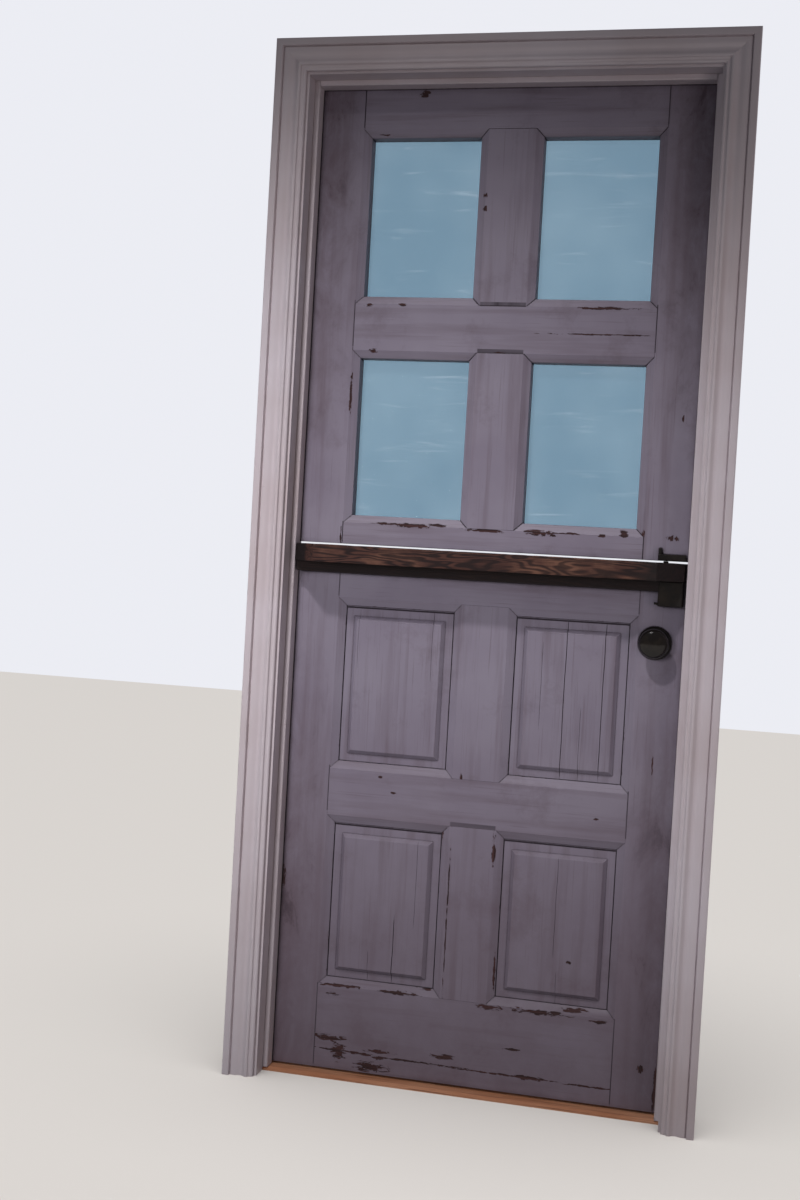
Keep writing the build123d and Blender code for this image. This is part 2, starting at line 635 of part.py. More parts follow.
def latch():
    """Mortice latch: case with faceplate, drawn bolt, hub on a square spindle."""
    face_x = HALF_W - FACEPLATE_T
    x0 = face_x - LATCH_CASE_D
    half_t = LATCH_CASE_T / 2
    half_h = LATCH_CASE_H / 2
    wall = LATCH_WALL
    case = slab(x0, face_x, MID_Y - half_t, MID_Y + half_t, KNOB_Z - half_h, KNOB_Z + half_h)
    case = case + slab(face_x, HALF_W, MID_Y - FACEPLATE_W / 2, MID_Y + FACEPLATE_W / 2,
                       KNOB_Z - FACEPLATE_H / 2, KNOB_Z + FACEPLATE_H / 2)
    case = case - slab(x0 + wall, face_x - wall, MID_Y - half_t + wall, MID_Y + half_t - wall,
                       KNOB_Z - half_h + wall, KNOB_Z + half_h - wall)
    fit = LATCH_FIT
    case = case - slab(face_x - 2 * wall, HALF_W + 1, MID_Y - LATCH_T / 2 - fit,
                       MID_Y + LATCH_T / 2 + fit, KNOB_Z - LATCH_H / 2 - fit,
                       KNOB_Z + LATCH_H / 2 + fit)
    bore = Pos(KNOB_X, MID_Y, KNOB_Z) * Rot(90, 0, 0) * Cylinder(HUB_R + 0.05, 2 * LATCH_CASE_T)
    keep("latch_case", case - bore)

    tail = KNOB_X + HUB_R + 2
    nose = HALF_W - LATCH_SET
    head = slab(nose - 24, nose, MID_Y - LATCH_T / 2, MID_Y + LATCH_T / 2,
                KNOB_Z - LATCH_H / 2, KNOB_Z + LATCH_H / 2)
    slope = head.edges().filter_by(Axis.Z).sort_by(Axis.X)[-2:].sort_by(Axis.Y)[-1]
    head = chamfer(slope, LATCH_T * 0.55)
    bar = slab(tail, nose - 24, MID_Y - 2, MID_Y + 2, KNOB_Z - 5, KNOB_Z + 5)
    keep("latch_bolt", head + bar)

    hub = Rot(90, 0, 0) * Cylinder(HUB_R, LATCH_CASE_T)
    half = SPINDLE / 2
    hole = slab(-half, half, -LATCH_CASE_T, LATCH_CASE_T, -half, half)
    keep("latch_hub", Pos(KNOB_X, MID_Y, KNOB_Z) * (hub - hole))
    reach = NECK_L - 0.5
    keep("spindle", slab(KNOB_X - half, KNOB_X + half, FACE_Y - reach, BACK_Y + reach,
                         KNOB_Z - half, KNOB_Z + half))
    keep("room_knob", knob(-1))
    keep("far_knob", knob(1))
    keep("room_rose", rose(-1))
    keep("far_rose", rose(1))

    stile = NODES["lower_latch_stile"]
    stile = stile - slab(x0, HALF_W + 1, MID_Y - half_t, MID_Y + half_t,
                         KNOB_Z - half_h, KNOB_Z + half_h)
    stile = stile - slab(face_x, HALF_W + 1, MID_Y - FACEPLATE_W / 2, MID_Y + FACEPLATE_W / 2,
                         KNOB_Z - FACEPLATE_H / 2, KNOB_Z + FACEPLATE_H / 2)
    way = Pos(KNOB_X, MID_Y, KNOB_Z) * Rot(90, 0, 0) * Cylinder(NECK_R + 1, 2 * LEAF_T)
    NODES["lower_latch_stile"] = stile - way


def strike():
    """Strike plate let into the latch jamb, with a mortice for the bolt right through it."""
    grow = STRIKE_HOLE_FIT
    hole_y0 = MID_Y - LATCH_T / 2 - grow
    hole_y1 = MID_Y + LATCH_T / 2 + grow
    hole_z0 = KNOB_Z - LATCH_H / 2 - grow
    hole_z1 = KNOB_Z + LATCH_H / 2 + grow
    plate = slab(JAMB_X, JAMB_X + STRIKE_T, MID_Y - STRIKE_W / 2, MID_Y + STRIKE_W / 2,
                 KNOB_Z - STRIKE_H / 2, KNOB_Z + STRIKE_H / 2)
    bed = plate
    plate = fillet(plate.edges().filter_by(Axis.X), 3)
    keep("strike_plate", plate - slab(JAMB_X - 1, JAMB_X + STRIKE_T + 1, hole_y0, hole_y1,
                                      hole_z0, hole_z1))
    jamb = NODES["latch_jamb"] - bed
    NODES["latch_jamb"] = jamb - slab(JAMB_X - 1, JAMB_X + JAMB_T + 1, hole_y0, hole_y1,
                                      hole_z0, hole_z1)


def build():
    """Make every piece and write one file a node."""
    jambs()
    stops()
    casing()
    threshold()
    upper = leaf_joinery("upper", UPPER_Z,
                         [("meeting_rail", MEETING_RAIL), ("upper_mid_rail", MID_RAIL),
                          ("upper_top_rail", TOP_RAIL)], "glazed")
    glazing(upper)
    lower = leaf_joinery("lower", FLOOR_GAP,
                         [("lower_bottom_rail", BOTTOM_RAIL), ("lock_rail", LOCK_RAIL),
                          ("lower_top_rail", LOWER_TOP_RAIL)], "panelled")
    raised_panels(lower)
    hinges()
    shelf()
    joining_bolt()
    latch()
    strike()
    os.makedirs("parts", exist_ok=True)
    for name, shape in NODES.items():
        export_step(shape, f"parts/{name}.step")


build()
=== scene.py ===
"""Finish of a Dutch stable door in its frame, laid out as an add-on and run as a script."""
import math

import bmesh
import bpy
from mathutils import Matrix, Vector, noise


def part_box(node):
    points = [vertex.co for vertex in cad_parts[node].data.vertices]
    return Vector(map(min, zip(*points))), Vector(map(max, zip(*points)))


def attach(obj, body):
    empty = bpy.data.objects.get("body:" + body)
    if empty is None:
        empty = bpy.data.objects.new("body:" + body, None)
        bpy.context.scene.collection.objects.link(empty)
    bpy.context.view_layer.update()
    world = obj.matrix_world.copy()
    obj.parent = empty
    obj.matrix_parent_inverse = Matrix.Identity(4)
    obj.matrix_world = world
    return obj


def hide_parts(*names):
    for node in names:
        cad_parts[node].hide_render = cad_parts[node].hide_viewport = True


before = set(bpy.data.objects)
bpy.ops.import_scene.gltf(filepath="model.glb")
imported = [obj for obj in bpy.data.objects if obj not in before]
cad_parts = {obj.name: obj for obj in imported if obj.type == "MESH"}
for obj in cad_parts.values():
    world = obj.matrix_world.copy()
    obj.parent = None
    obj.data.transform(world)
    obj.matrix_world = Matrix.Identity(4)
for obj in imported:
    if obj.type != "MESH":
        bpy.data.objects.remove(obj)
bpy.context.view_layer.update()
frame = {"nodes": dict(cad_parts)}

bl_info = {
    "name": "Stable door",
    "version": (1, 0, 0),
    "blender": (4, 5, 0),
    "location": "View3D > Sidebar > Stable door",
    "description": "Paints a stable door and makes its panes, panels and shelf",
    "category": "Object",
}

MM = 0.001
BODY_OF_FRAME = "frame"
OPENING = 414.5 * MM
CASING_TOP = 2116 * MM
FRAME_ARRIS = 0.8 * MM
PANE_THICKNESS = 2.0 * MM
PANE_SETBACK = 0.5 * MM
PLANK_CLIP = 50 * MM
PLANK_ARRIS = 1.6 * MM
PLANK_STEP = 5 * MM
PLANK_EDGE = 2.2 * MM
PLANK_ROUGHNESS = 0.35 * MM
FLOOR_SIZE = 8.0

# Members by the way their grain runs
UPRIGHT = ["upper_hinge_stile", "upper_latch_stile", "upper_muntin_1", "upper_muntin_2",
           "lower_hinge_stile", "lower_latch_stile", "lower_muntin_1", "lower_muntin_2"]
LEVEL = ["meeting_rail", "upper_mid_rail", "upper_top_rail", "lower_bottom_rail", "lock_rail",
         "lower_top_rail"]
PANELS = ["raised_panel_1", "raised_panel_2", "raised_panel_3", "raised_panel_4"]
PANES = ["glass_pane_1", "glass_pane_2", "glass_pane_3", "glass_pane_4"]
FRAME_UPRIGHT = ["hinge_jamb", "latch_jamb", "hinge_stop", "latch_stop"]
FRAME_LEVEL = ["head_jamb", "head_stop"]
IRON = ["bolt_case", "bolt_keeper", "joining_bolt"]
KNOBS = ["room_knob", "far_knob", "room_rose", "far_rose"]
STEEL = ["hinge_pins", "jamb_hinge_screws", "upper_hinge_screws", "lower_hinge_screws",
         "latch_case", "latch_bolt", "latch_hub", "spindle", "strike_plate"]
STEEL += [f"{leaf}_hinge_{number}_{side}_side" for leaf in ("upper", "lower")
          for number in (1, 2) for side in ("jamb", "door")]

# Shoulders of the joints in millimetres: out from the middle, and the rails' heights
SHOULDER = 308.5
RAILS = [(12, 186), (541.5, 638.5), (994, 1101), (1105, 1149), (1504.5, 1599.5), (1955, 2044)]

# Chips in the paint, in millimetres: middle X and Z, then width and height
CHIPS_UPRIGHT = [
    (-49, 1821, 7, 8), (-48, 1794, 8, 9), (-307, 1413, 4, 70), (18, 1551, 5, 6),
    (372, 1385, 4, 9), (46, 495, 6, 62), (-43, 325, 2.6, 280), (366, 95, 13, 11),
    (397, 60, 9, 80), (-396, 402, 9, 32), (366, 1150, 22, 8), (307, 1155, 6, 13),
    (-312, 1120, 3, 26), (-400, 700, 5, 90), (352, 700, 3, 24), (-30, 640, 4, 14),
    (402, 330, 4, 70), (-62, 540, 4, 60), (60, 250, 4, 60), (-403, 1240, 4, 120),
]
CHIPS_LEVEL = [
    (-185, 2026, 16, 12), (-261, 1945, 22, 3), (-279, 1597, 14, 7), (-208, 1599, 13, 5),
    (-264, 1504, 15, 6), (-2, 1504, 24, 5), (211, 1598, 92, 5), (211, 1546, 190, 2.5),
    (-214, 1150, 48, 4), (-157, 1149, 68, 7), (-107, 1152, 35, 5), (-12, 1146, 74, 5),
    (106, 1147, 54, 9), (161, 1149, 37, 4), (226, 1148, 12, 5), (269, 1154, 13, 13),
    (-198, 628, 7, 5), (-169, 598, 8, 5), (248, 583, 7, 4),
    (-263, 187, 93, 5), (-273, 169, 23, 5), (-132, 187, 66, 7), (-76, 200, 24, 5),
    (55, 181, 38, 9), (146, 183, 108, 8), (228, 194, 38, 8), (277, 178, 34, 6),
    (-276, 76, 64, 9), (-256, 52, 26, 32), (-170, 60, 52, 6), (-176, 46, 23, 5),
    (-186, 26, 58, 15), (-36, 67, 44, 8), (104, 101, 27, 4), (136, 47, 54, 7),
    (-254, 52, 112, 3), (-103, 49, 192, 3), (101, 47, 216, 3), (257, 46, 98, 3),
]

# Splits in the panels, in millimetres: X, lowest and highest Z, width
SPLITS = {
    "raised_panel_1": [(-153, 203, 341, 1.4), (-112, 330, 505, 0.6), (-205, 200, 262, 0.6)],
    "raised_panel_2": [(178, 300, 500, 0.7), (186, 196, 262, 0.6)],
    "raised_panel_3": [(-106, 835, 985, 0.6), (-262, 850, 970, 0.5)],
    "raised_panel_4": [(169, 650, 985, 1.4), (246, 655, 985, 1.4), (122, 760, 930, 0.6),
                       (205, 655, 800, 0.6)],
}

# Section of the casing in millimetres: across from its inner edge, thickness, and the
# rounding of that edge
CASING = [(0, 0, 0), (0, 8, 2.5), (4.5, 10, 1.5), (6, 9, 0.6), (10, 10.5, 0.8), (11, 14, 1.2),
          (15.5, 15.5, 2.5), (20, 11.5, 3), (26.5, 7.5, 5), (33, 11, 4), (38.5, 12.6, 3),
          (47, 12.2, 1.2), (48.5, 9.5, 0.5), (50, 17.6, 0.8), (57, 18, 3), (64, 17.4, 1.6),
          (64, 0, 0)]

# Where the camera stood
CAMERA_PLACE = (0.5346, -2.9485, 1.0826)
CAMERA_HEADING = 13.286
CAMERA_PITCH = -1.61
CAMERA_ROLL = 3.221
CAMERA_LENS = 45.37


def screen(red, green, blue):
    """A colour as a screen shows it, 0 to 255, in linear values."""
    values = []
    for value in (red, green, blue):
        value /= 255
        values.append(value / 12.92 if value <= 0.04045 else ((value + 0.055) / 1.055) ** 2.4)
    return tuple(values)


def colour_property(name, description, default):
    """A colour that a user may change."""
    return bpy.props.FloatVectorProperty(name=name, description=description, default=default,
                                         size=3, min=0.0, max=1.0, subtype="COLOR")


class DoorPaintSettings(bpy.types.PropertyGroup):
    """Paint of the two leaves."""
    paint: colour_property("Paint", "Main colour of the leaves", screen(132, 124, 139))
    faded: colour_property("Faded", "Paint where it has faded and rubbed", screen(142, 135, 149))
    # This colour is also painted shade on the upper parts of the outer stiles
    stained: colour_property("Stained", "Paint where dirt has stained it", screen(100, 86, 95))
    bare: colour_property("Bare", "Old dark wood under the chips", screen(46, 33, 34))
    primer: colour_property("Primer", "Red primer left in the chips", screen(74, 50, 50))
    # This colour is also painted shade in the creases and corners of the leaves
    grime_and_shade: colour_property("Grime", "Dirt in the joints and corners", screen(38, 30, 38))
    arris: bpy.props.FloatProperty(name="Arris", description="Rounding of the wood's edges",
                                   default=1.3 * MM, min=0.0, unit="LENGTH")


class FramePaintSettings(bpy.types.PropertyGroup):
    """Paint of the frame and casing."""
    paint: colour_property("Paint", "Main colour of the frame", screen(214, 205, 211))
    shaded: colour_property("Shaded", "Paint where hands have dulled it", screen(200, 187, 190))
    # This colour is also painted shade in the crevices of the moulding
    grime_and_shade: colour_property("Grime", "Dirt in the quirks", screen(122, 96, 88))


class GlassSettings(bpy.types.PropertyGroup):
    """Old drawn glass."""
    tint: colour_property("Tint", "Body colour of the glass", screen(140, 172, 190))
    second_tint: colour_property("Second tint", "Colour that it drifts to",
                                 screen(154, 184, 200))
    pale: colour_property("Pale", "Draw lines and seeds in the glass", screen(226, 238, 244))
    wave: bpy.props.FloatProperty(name="Wave", description="Height of the waves in a pane",
                                  default=0.35 * MM, min=0.0, unit="LENGTH")


class ShelfSettings(bpy.types.PropertyGroup):
    """Sawn plank and the batten under it."""
    stain: colour_property("Stain", "Brown stain", screen(78, 52, 46))
    pale: colour_property("Pale grain", "Grain where the stain has rubbed off", screen(122, 88, 72))
    dark: colour_property("Dark grain", "Dark lines of the grain", screen(38, 27, 27))
    # Black of both ends of the plank and of the batten
    black: colour_property("Black", "Stain of the ends and the batten", screen(30, 25, 26))
    chip: bpy.props.FloatProperty(name="Chip", description="Largest chip out of an edge",
                                  default=2.2 * MM, min=0.0, unit="LENGTH")


class IronSettings(bpy.types.PropertyGroup):
    """Bolt, case, keeper and knobs."""
    black: colour_property("Black", "Black finish", screen(27, 24, 23))
    worn: colour_property("Worn", "Iron where the black has worn", screen(58, 50, 42))


class StageSettings(bpy.types.PropertyGroup):
    """Floor, light and camera."""
    floor: colour_property("Floor", "Colour of the floor", screen(214, 210, 206))
    key: bpy.props.FloatProperty(name="Key light", description="Strength of the lamp above",
                                 default=200.0, min=0.0, unit="POWER")
    front: bpy.props.FloatProperty(name="Front light",
                                   description="Strength of the lamp in front",
                                   default=358.0, min=0.0, unit="POWER")
    sky: bpy.props.FloatProperty(name="Surround", description="Strength of the soft surround",
                                 default=0.10, min=0.0)
    floor_light: bpy.props.FloatProperty(name="Floor light",
                                         description="Strength of the light on the floor alone",
                                         default=3.1, min=0.0)
    back: bpy.props.FloatProperty(name="Back light", description="Strength of the lamp behind",
                                  default=46.0, min=0.0, unit="POWER")
    fill: bpy.props.FloatProperty(name="Fill light", description="Strength of the right lamp",
                                  default=11.0, min=0.0, unit="POWER")
    sky_colour: colour_property("Surround colour", "Colour of the soft surround",
                                (0.93, 0.94, 1.0))
    backdrop: bpy.props.FloatProperty(name="Backdrop", description="Brightness behind the door",
                                      default=0.90, min=0.0)


class Finish:
    """Builds one material out of shader nodes."""

    def __init__(self, name):
        self.material = bpy.data.materials.new(name)
        self.material.use_nodes = True
        self.tree = self.material.node_tree
        self.surface = self.tree.nodes["Principled BSDF"]
        self.place = self.add("ShaderNodeTexCoord").outputs["Object"]

    def add(self, kind, inputs=None, **settings):
        """A node with its settings and inputs; an input may be a value or another output."""
        node = self.tree.nodes.new(kind)
        for key, value in settings.items():
            setattr(node, key, value)
        for key, value in (inputs or {}).items():
            self.feed(node.inputs[key], value)
        return node

    def feed(self, socket, value):
        """Link an output to a socket, or set the socket's own value."""
        if isinstance(value, bpy.types.NodeSocket):
            self.tree.links.new(value, socket)
        elif isinstance(value, tuple) and len(value) == 3 and socket.type == "RGBA":
            socket.default_value = (*value, 1.0)
        else:
            socket.default_value = value

    def calc(self, operation, first, second=0.0, clamp=False):
        """One step of arithmetic."""
        node = self.add("ShaderNodeMath", {0: first, 1: second}, operation=operation,
                        use_clamp=clamp)
        return node.outputs[0]

    def moved(self, location=(0, 0, 0), scale=(1, 1, 1), turn=(0, 0, 0), source=None):
        """The place on the piece, scaled, turned and moved."""
        node = self.add("ShaderNodeMapping", {"Vector": source or self.place,
                                              "Location": location, "Rotation": turn,
                                              "Scale": scale})
        return node.outputs[0]

    def noise(self, scale, detail=4.0, rough=0.55, stretch=(1, 1, 1), twist=0.0, shift=0.0):
        """Cloudy noise; scale is in cells a metre."""
        vector = self.moved(scale=stretch, location=(shift, shift, shift))
        node = self.add("ShaderNodeTexNoise", {"Vector": vector, "Scale": scale,
                                               "Detail": detail, "Roughness": rough,
                                               "Distortion": twist})
        return node.outputs[0]

    def span(self, value, low, high, out_low=0.0, out_high=1.0):
        """Map a range of values onto another, held at both ends."""
        node = self.add("ShaderNodeMapRange", {0: value, 1: low, 2: high, 3: out_low,
                                               4: out_high}, clamp=True)
        return node.outputs[0]

    def blend(self, factor, first, second, kind="MIX"):
        """Mix two colours."""
        node = self.add("ShaderNodeMix", {0: factor, 6: first, 7: second}, data_type="RGBA",
                        blend_type=kind, clamp_factor=True)
        return node.outputs[2]

    def marks(self, places, ragged):
        """A mask of ragged chips at the given places, in millimetres, on the room side."""
        total = None
        for x, z, width, height in places:
            half_w = width * MM * 0.8
            half_h = height * MM * 0.85
            near = self.moved(location=(-x * MM / half_w, 0, -z * MM / half_h),
                              scale=(1 / half_w, 0, 1 / half_h))
            spot = self.add("ShaderNodeTexGradient", {"Vector": near},
                            gradient_type="SPHERICAL").outputs[1]
            total = spot if total is None else self.calc("MAXIMUM", total, spot)
        torn = self.noise(190.0, detail=4.0, rough=0.65, stretch=ragged, twist=0.6)
        level = self.calc("ADD", total, self.calc("MULTIPLY", self.calc("SUBTRACT", torn, 0.5),
                                                  3.2))
        mask = self.calc("MULTIPLY", self.span(level, 0.30, 0.40), self.span(total, 0.0, 0.08))
        depth = self.add("ShaderNodeSeparateXYZ", {0: self.place}).outputs[1]
        return self.calc("MULTIPLY", mask, self.span(depth, 80 * MM, 82 * MM, 1.0, 0.0))

    def bands(self, value, spans):
        """1 where the value, in millimetres up to 2200, is inside one of the spans."""
        ramp = self.add("ShaderNodeValToRGB", {0: self.calc("DIVIDE", value, 2200 * MM)})
        ramp.color_ramp.interpolation = "CONSTANT"
        stops = ramp.color_ramp.elements
        stops[0].color = (0, 0, 0, 1)
        stops[-1].color = (0, 0, 0, 1)
        for low, high in spans:
            stops.new(low / 2200).color = (1, 1, 1, 1)
            stops.new(high / 2200).color = (0, 0, 0, 1)
        return ramp.outputs[0]

    def seams(self, wander):
        """Dirt along the shoulders where rails meet stiles and muntins meet rails."""
        axes = self.add("ShaderNodeSeparateXYZ", {0: self.place})
        out = self.calc("ABSOLUTE", axes.outputs[0])
        off = self.calc("ABSOLUTE", self.calc("SUBTRACT", out, SHOULDER * MM))
        shoulder = self.calc("MULTIPLY", self.span(off, 0.8 * MM, 1.5 * MM, 1.0, 0.0),
                             self.bands(axes.outputs[2], RAILS))
        edges = [edge for rail in RAILS for edge in rail if 100 < edge < 2000]
        ends = [(z - 1.1, z + 1.1) for z in edges if z not in (1101, 1105)]
        level = self.calc("MULTIPLY", self.span(out, 46 * MM, 48 * MM, 1.0, 0.0),
                          self.bands(axes.outputs[2], ends))
        front = self.span(axes.outputs[1], 71 * MM, 73 * MM, 1.0, 0.0)
        line = self.calc("MULTIPLY", self.calc("MAXIMUM", shoulder, level), front)
        return self.calc("MULTIPLY", line, wander)

    def crevice(self, reach, inside=False):
        """How open a spot is: 1 in the open and 0 deep in a corner."""
        node = self.add("ShaderNodeAmbientOcclusion", {"Distance": reach}, samples=4,
                        inside=inside)
        return node.outputs["AO"]

    def bump(self, height, distance, strength=1.0, normal=None):
        """Raise the surface by a height map, in metres."""
        inputs = {"Height": height, "Distance": distance, "Strength": strength}
        if normal is not None:
            inputs["Normal"] = normal
        return self.add("ShaderNodeBump", inputs).outputs[0]

    def finish(self, **sockets):
        """Set the surface's sockets, by their names with underscores for spaces."""
        for key, value in sockets.items():
            self.feed(self.surface.inputs[key.replace("_", " ")], value)
        return self.material


def settings(name):
    """One group of settings of the scene."""
    return getattr(bpy.context.scene, name)


def give(names, material):
    """Put a material on CAD pieces."""
    for name in names:
        node = frame["nodes"][name]
        if not node.material_slots:
            node.data.materials.append(material)
        for slot in node.material_slots:
            slot.material = material


def ease(names, width, segments=2):
    """Round the arrises of CAD pieces that are loose triangles."""
    for name in names:
        node = frame["nodes"][name]
        weld = node.modifiers.new("weld", "WELD")
        weld.merge_threshold = 0.01 * MM
        merge = node.modifiers.new("flats", "DECIMATE")
        merge.decimate_type = "DISSOLVE"
        merge.angle_limit = math.radians(1.0)
        bevel = node.modifiers.new("arris", "BEVEL")
        bevel.width = width
        bevel.segments = segments
        bevel.limit_method = "ANGLE"
        bevel.angle_limit = math.radians(30)
        bevel.harden_normals = True


def piece(name, mesh, material, body, slot, *replaced):
    """Finish a bmesh as an object that rides on a body."""
    data = bpy.data.meshes.new(name)
    bmesh.ops.recalc_face_normals(mesh, faces=mesh.faces)
    mesh.to_mesh(data)
    mesh.free()
    obj = bpy.data.objects.new(name, data)
    bpy.context.scene.collection.objects.link(obj)
    data.materials.append(material)
    if replaced:
        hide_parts(*replaced)
    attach(obj, body)
    return obj


# Finishes

def leaf_paint(name, along, chips):
    """Old grey-lilac paint on wood whose grain runs along X or Z."""
    use = settings("door_paint")
    f = Finish(name)
    upright = along == "Z"
    stretch = (1.0, 1.0, 0.06) if upright else (0.06, 1.0, 1.0)
    fine = (1.0, 1.0, 0.02) if upright else (0.02, 1.0, 1.0)
    ragged = (1.0, 1.0, 0.3) if upright else (0.3, 1.0, 1.0)
    cloud = f.noise(4.0, detail=4.0, rough=0.6)
    streak = f.noise(40.0, detail=5.0, stretch=stretch)
    grain = f.noise(300.0, detail=4.0, stretch=fine, twist=0.3)
    smear = f.noise(9.0, detail=6.0, rough=0.7, shift=3.0)
    speck = f.noise(700.0, detail=2.0)
    blotch = f.noise(13.0, detail=8.0, rough=0.74, twist=0.4, shift=7.0,
                     stretch=(1.0, 1.0, 0.55) if upright else (0.55, 1.0, 1.0))
    axes = f.add("ShaderNodeSeparateXYZ", {0: f.place})
    height_up = axes.outputs[2]
    colour = f.blend(f.span(cloud, 0.35, 0.65), tuple(use.paint), tuple(use.faded))
    colour = f.blend(f.span(streak, 0.48, 0.72, 0.0, 0.5), colour, tuple(use.stained))
    colour = f.blend(f.span(grain, 0.60, 0.70, 0.0, 0.35), colour, tuple(use.stained))
    colour = f.blend(f.span(smear, 0.56, 0.70, 0.0, 0.34), colour, tuple(use.stained))
    colour = f.blend(f.span(speck, 0.70, 0.75, 0.0, 0.4), colour, tuple(use.grime_and_shade))
    low_dirt = f.calc("MULTIPLY", f.span(height_up, 0.0, 0.8, 0.8, 0.0),
                      f.span(smear, 0.3, 0.65, 0.6, 1.0))
    colour = f.blend(low_dirt, colour, tuple(use.stained))
    # Darker outer stiles: blotchy stain low down, and painted shade on their upper parts, where
    # less light falls
    outer_stain_and_shade = f.calc("MULTIPLY", f.span(f.calc("ABSOLUTE", axes.outputs[0]), 0.29, 0.37),
                   f.calc("MAXIMUM", f.span(height_up, 0.35, 0.95, 1.0, 0.2),
                          f.span(height_up, 1.3, 1.75, 0.2, 1.0)))
    soiled_and_shaded = f.calc("MULTIPLY", outer_stain_and_shade, f.span(blotch, 0.38, 0.62, 0.30, 0.95))
    colour = f.blend(soiled_and_shaded, colour, tuple(use.stained))
    sooty_and_shaded = f.calc("MULTIPLY", outer_stain_and_shade, f.span(blotch, 0.56, 0.68, 0.0, 0.45))
    colour = f.blend(sooty_and_shaded, colour, tuple(use.grime_and_shade))
    # Painted shade: the grime colour darkens creases, joints and corners by how closed in they are,
    # close by and, blotchily, further out
    near = f.span(f.crevice(3.0 * MM), 0.72, 0.99, 1.0, 0.0)
    recess_shade = f.calc("MULTIPLY", f.span(f.crevice(16 * MM), 0.4, 0.95, 0.5, 0.0),
                  f.span(smear, 0.35, 0.6, 0.2, 1.0))
    colour = f.blend(f.calc("MAXIMUM", near, recess_shade), colour, tuple(use.grime_and_shade))
    colour = f.blend(f.seams(f.span(streak, 0.3, 0.6, 0.95, 0.5)), colour, tuple(use.grime_and_shade))
    bare = f.marks(chips, ragged)
    edge = f.crevice(2.0 * MM, inside=True)
    rub = f.noise(55.0, detail=6.0, rough=0.7, shift=4.0)
    worn = f.calc("MULTIPLY", f.span(edge, 0.40, 0.65, 1.0, 0.0), f.span(rub, 0.60, 0.63))
    bare = f.calc("MAXIMUM", bare, worn)
    wood = f.blend(f.span(grain, 0.4, 0.6), tuple(use.bare), tuple(use.primer))
    colour = f.blend(bare, colour, wood)
    height = f.calc("ADD", f.calc("MULTIPLY", streak, 0.35), f.calc("MULTIPLY", grain, 0.22))
    height = f.calc("ADD", height, f.calc("MULTIPLY", speck, 0.05))
    height = f.calc("SUBTRACT", height, f.calc("MULTIPLY", bare, 1.2))
    normal = f.bump(height, 0.35 * MM)
    rough = f.calc("ADD", f.span(cloud, 0.3, 0.7, 0.46, 0.60), f.calc("MULTIPLY", bare, 0.3))
    return f.finish(Base_Color=colour, Roughness=rough, Normal=normal,
                    Specular_IOR_Level=0.4)


def frame_paint(name, along):
    """Off-white satin paint, brushed along the member."""
    use = settings("frame_finish")
    f = Finish(name)
    stretch = (1.0, 1.0, 0.03) if along == "Z" else (0.03, 1.0, 1.0)
    cloud = f.noise(3.5, detail=3.0)
    brush = f.noise(300.0, detail=3.0, stretch=stretch)
    knock = f.noise(28.0, detail=6.0, rough=0.7)
    colour = f.blend(f.span(cloud, 0.35, 0.7), tuple(use.paint), tuple(use.shaded))
    # Painted shade: the grime colour darkens the crevices and quirks of the moulding by how closed
    # in they are, varied by a blotchy noise
    near = f.span(f.crevice(5 * MM), 0.35, 0.9, 0.28, 0.0)
    dirt = f.calc("MULTIPLY", near, f.span(knock, 0.35, 0.6, 0.4, 1.0))
    colour = f.blend(dirt, colour, tuple(use.grime_and_shade))
    colour = f.blend(f.span(knock, 0.72, 0.75, 0.0, 0.3), colour, tuple(use.grime_and_shade))
    height = f.calc("ADD", f.calc("MULTIPLY", brush, 0.6), f.calc("MULTIPLY", knock, 0.5))
    normal = f.bump(height, 0.08 * MM)
    return f.finish(Base_Color=colour, Roughness=f.span(cloud, 0.3, 0.7, 0.36, 0.46),
                    Normal=normal)


def putty_paint():
    """Paint over putty, smoothed by a knife."""
    use = settings("door_paint")
    f = Finish("putty_paint")
    lump = f.noise(60.0, detail=4.0)
    colour = f.blend(f.span(lump, 0.35, 0.65), tuple(use.paint), tuple(use.stained))
    return f.finish(Base_Color=colour, Roughness=0.6, Normal=f.bump(lump, 0.5 * MM))


def pane_glass():
    """Old drawn glass: a cool tint, faint draw lines along X and seeds."""
    use = settings("pane_finish")
    f = Finish("drawn_glass")
    cloud = f.noise(5.0, detail=2.0)
    draw = f.noise(70.0, detail=4.0, rough=0.6, stretch=(0.10, 1.0, 1.0), twist=0.8)
    ripple = f.noise(24.0, detail=3.0, stretch=(0.35, 1.0, 1.0), twist=0.6)
    seed = f.noise(420.0, detail=1.0, stretch=(0.4, 1.0, 1.0))
    colour = f.blend(f.span(cloud, 0.35, 0.65), tuple(use.tint), tuple(use.second_tint))
    colour = f.blend(f.span(draw, 0.60, 0.74, 0.0, 0.28), colour, tuple(use.pale))
    colour = f.blend(f.span(seed, 0.74, 0.78, 0.0, 0.5), colour, tuple(use.pale))
    height = f.calc("ADD", f.calc("MULTIPLY", ripple, 1.0), f.calc("MULTIPLY", draw, 0.25))
    return f.finish(Base_Color=colour, Roughness=f.span(draw, 0.3, 0.7, 0.03, 0.07), IOR=1.5,
                    Transmission_Weight=0.85, Normal=f.bump(height, 1.2 * MM))


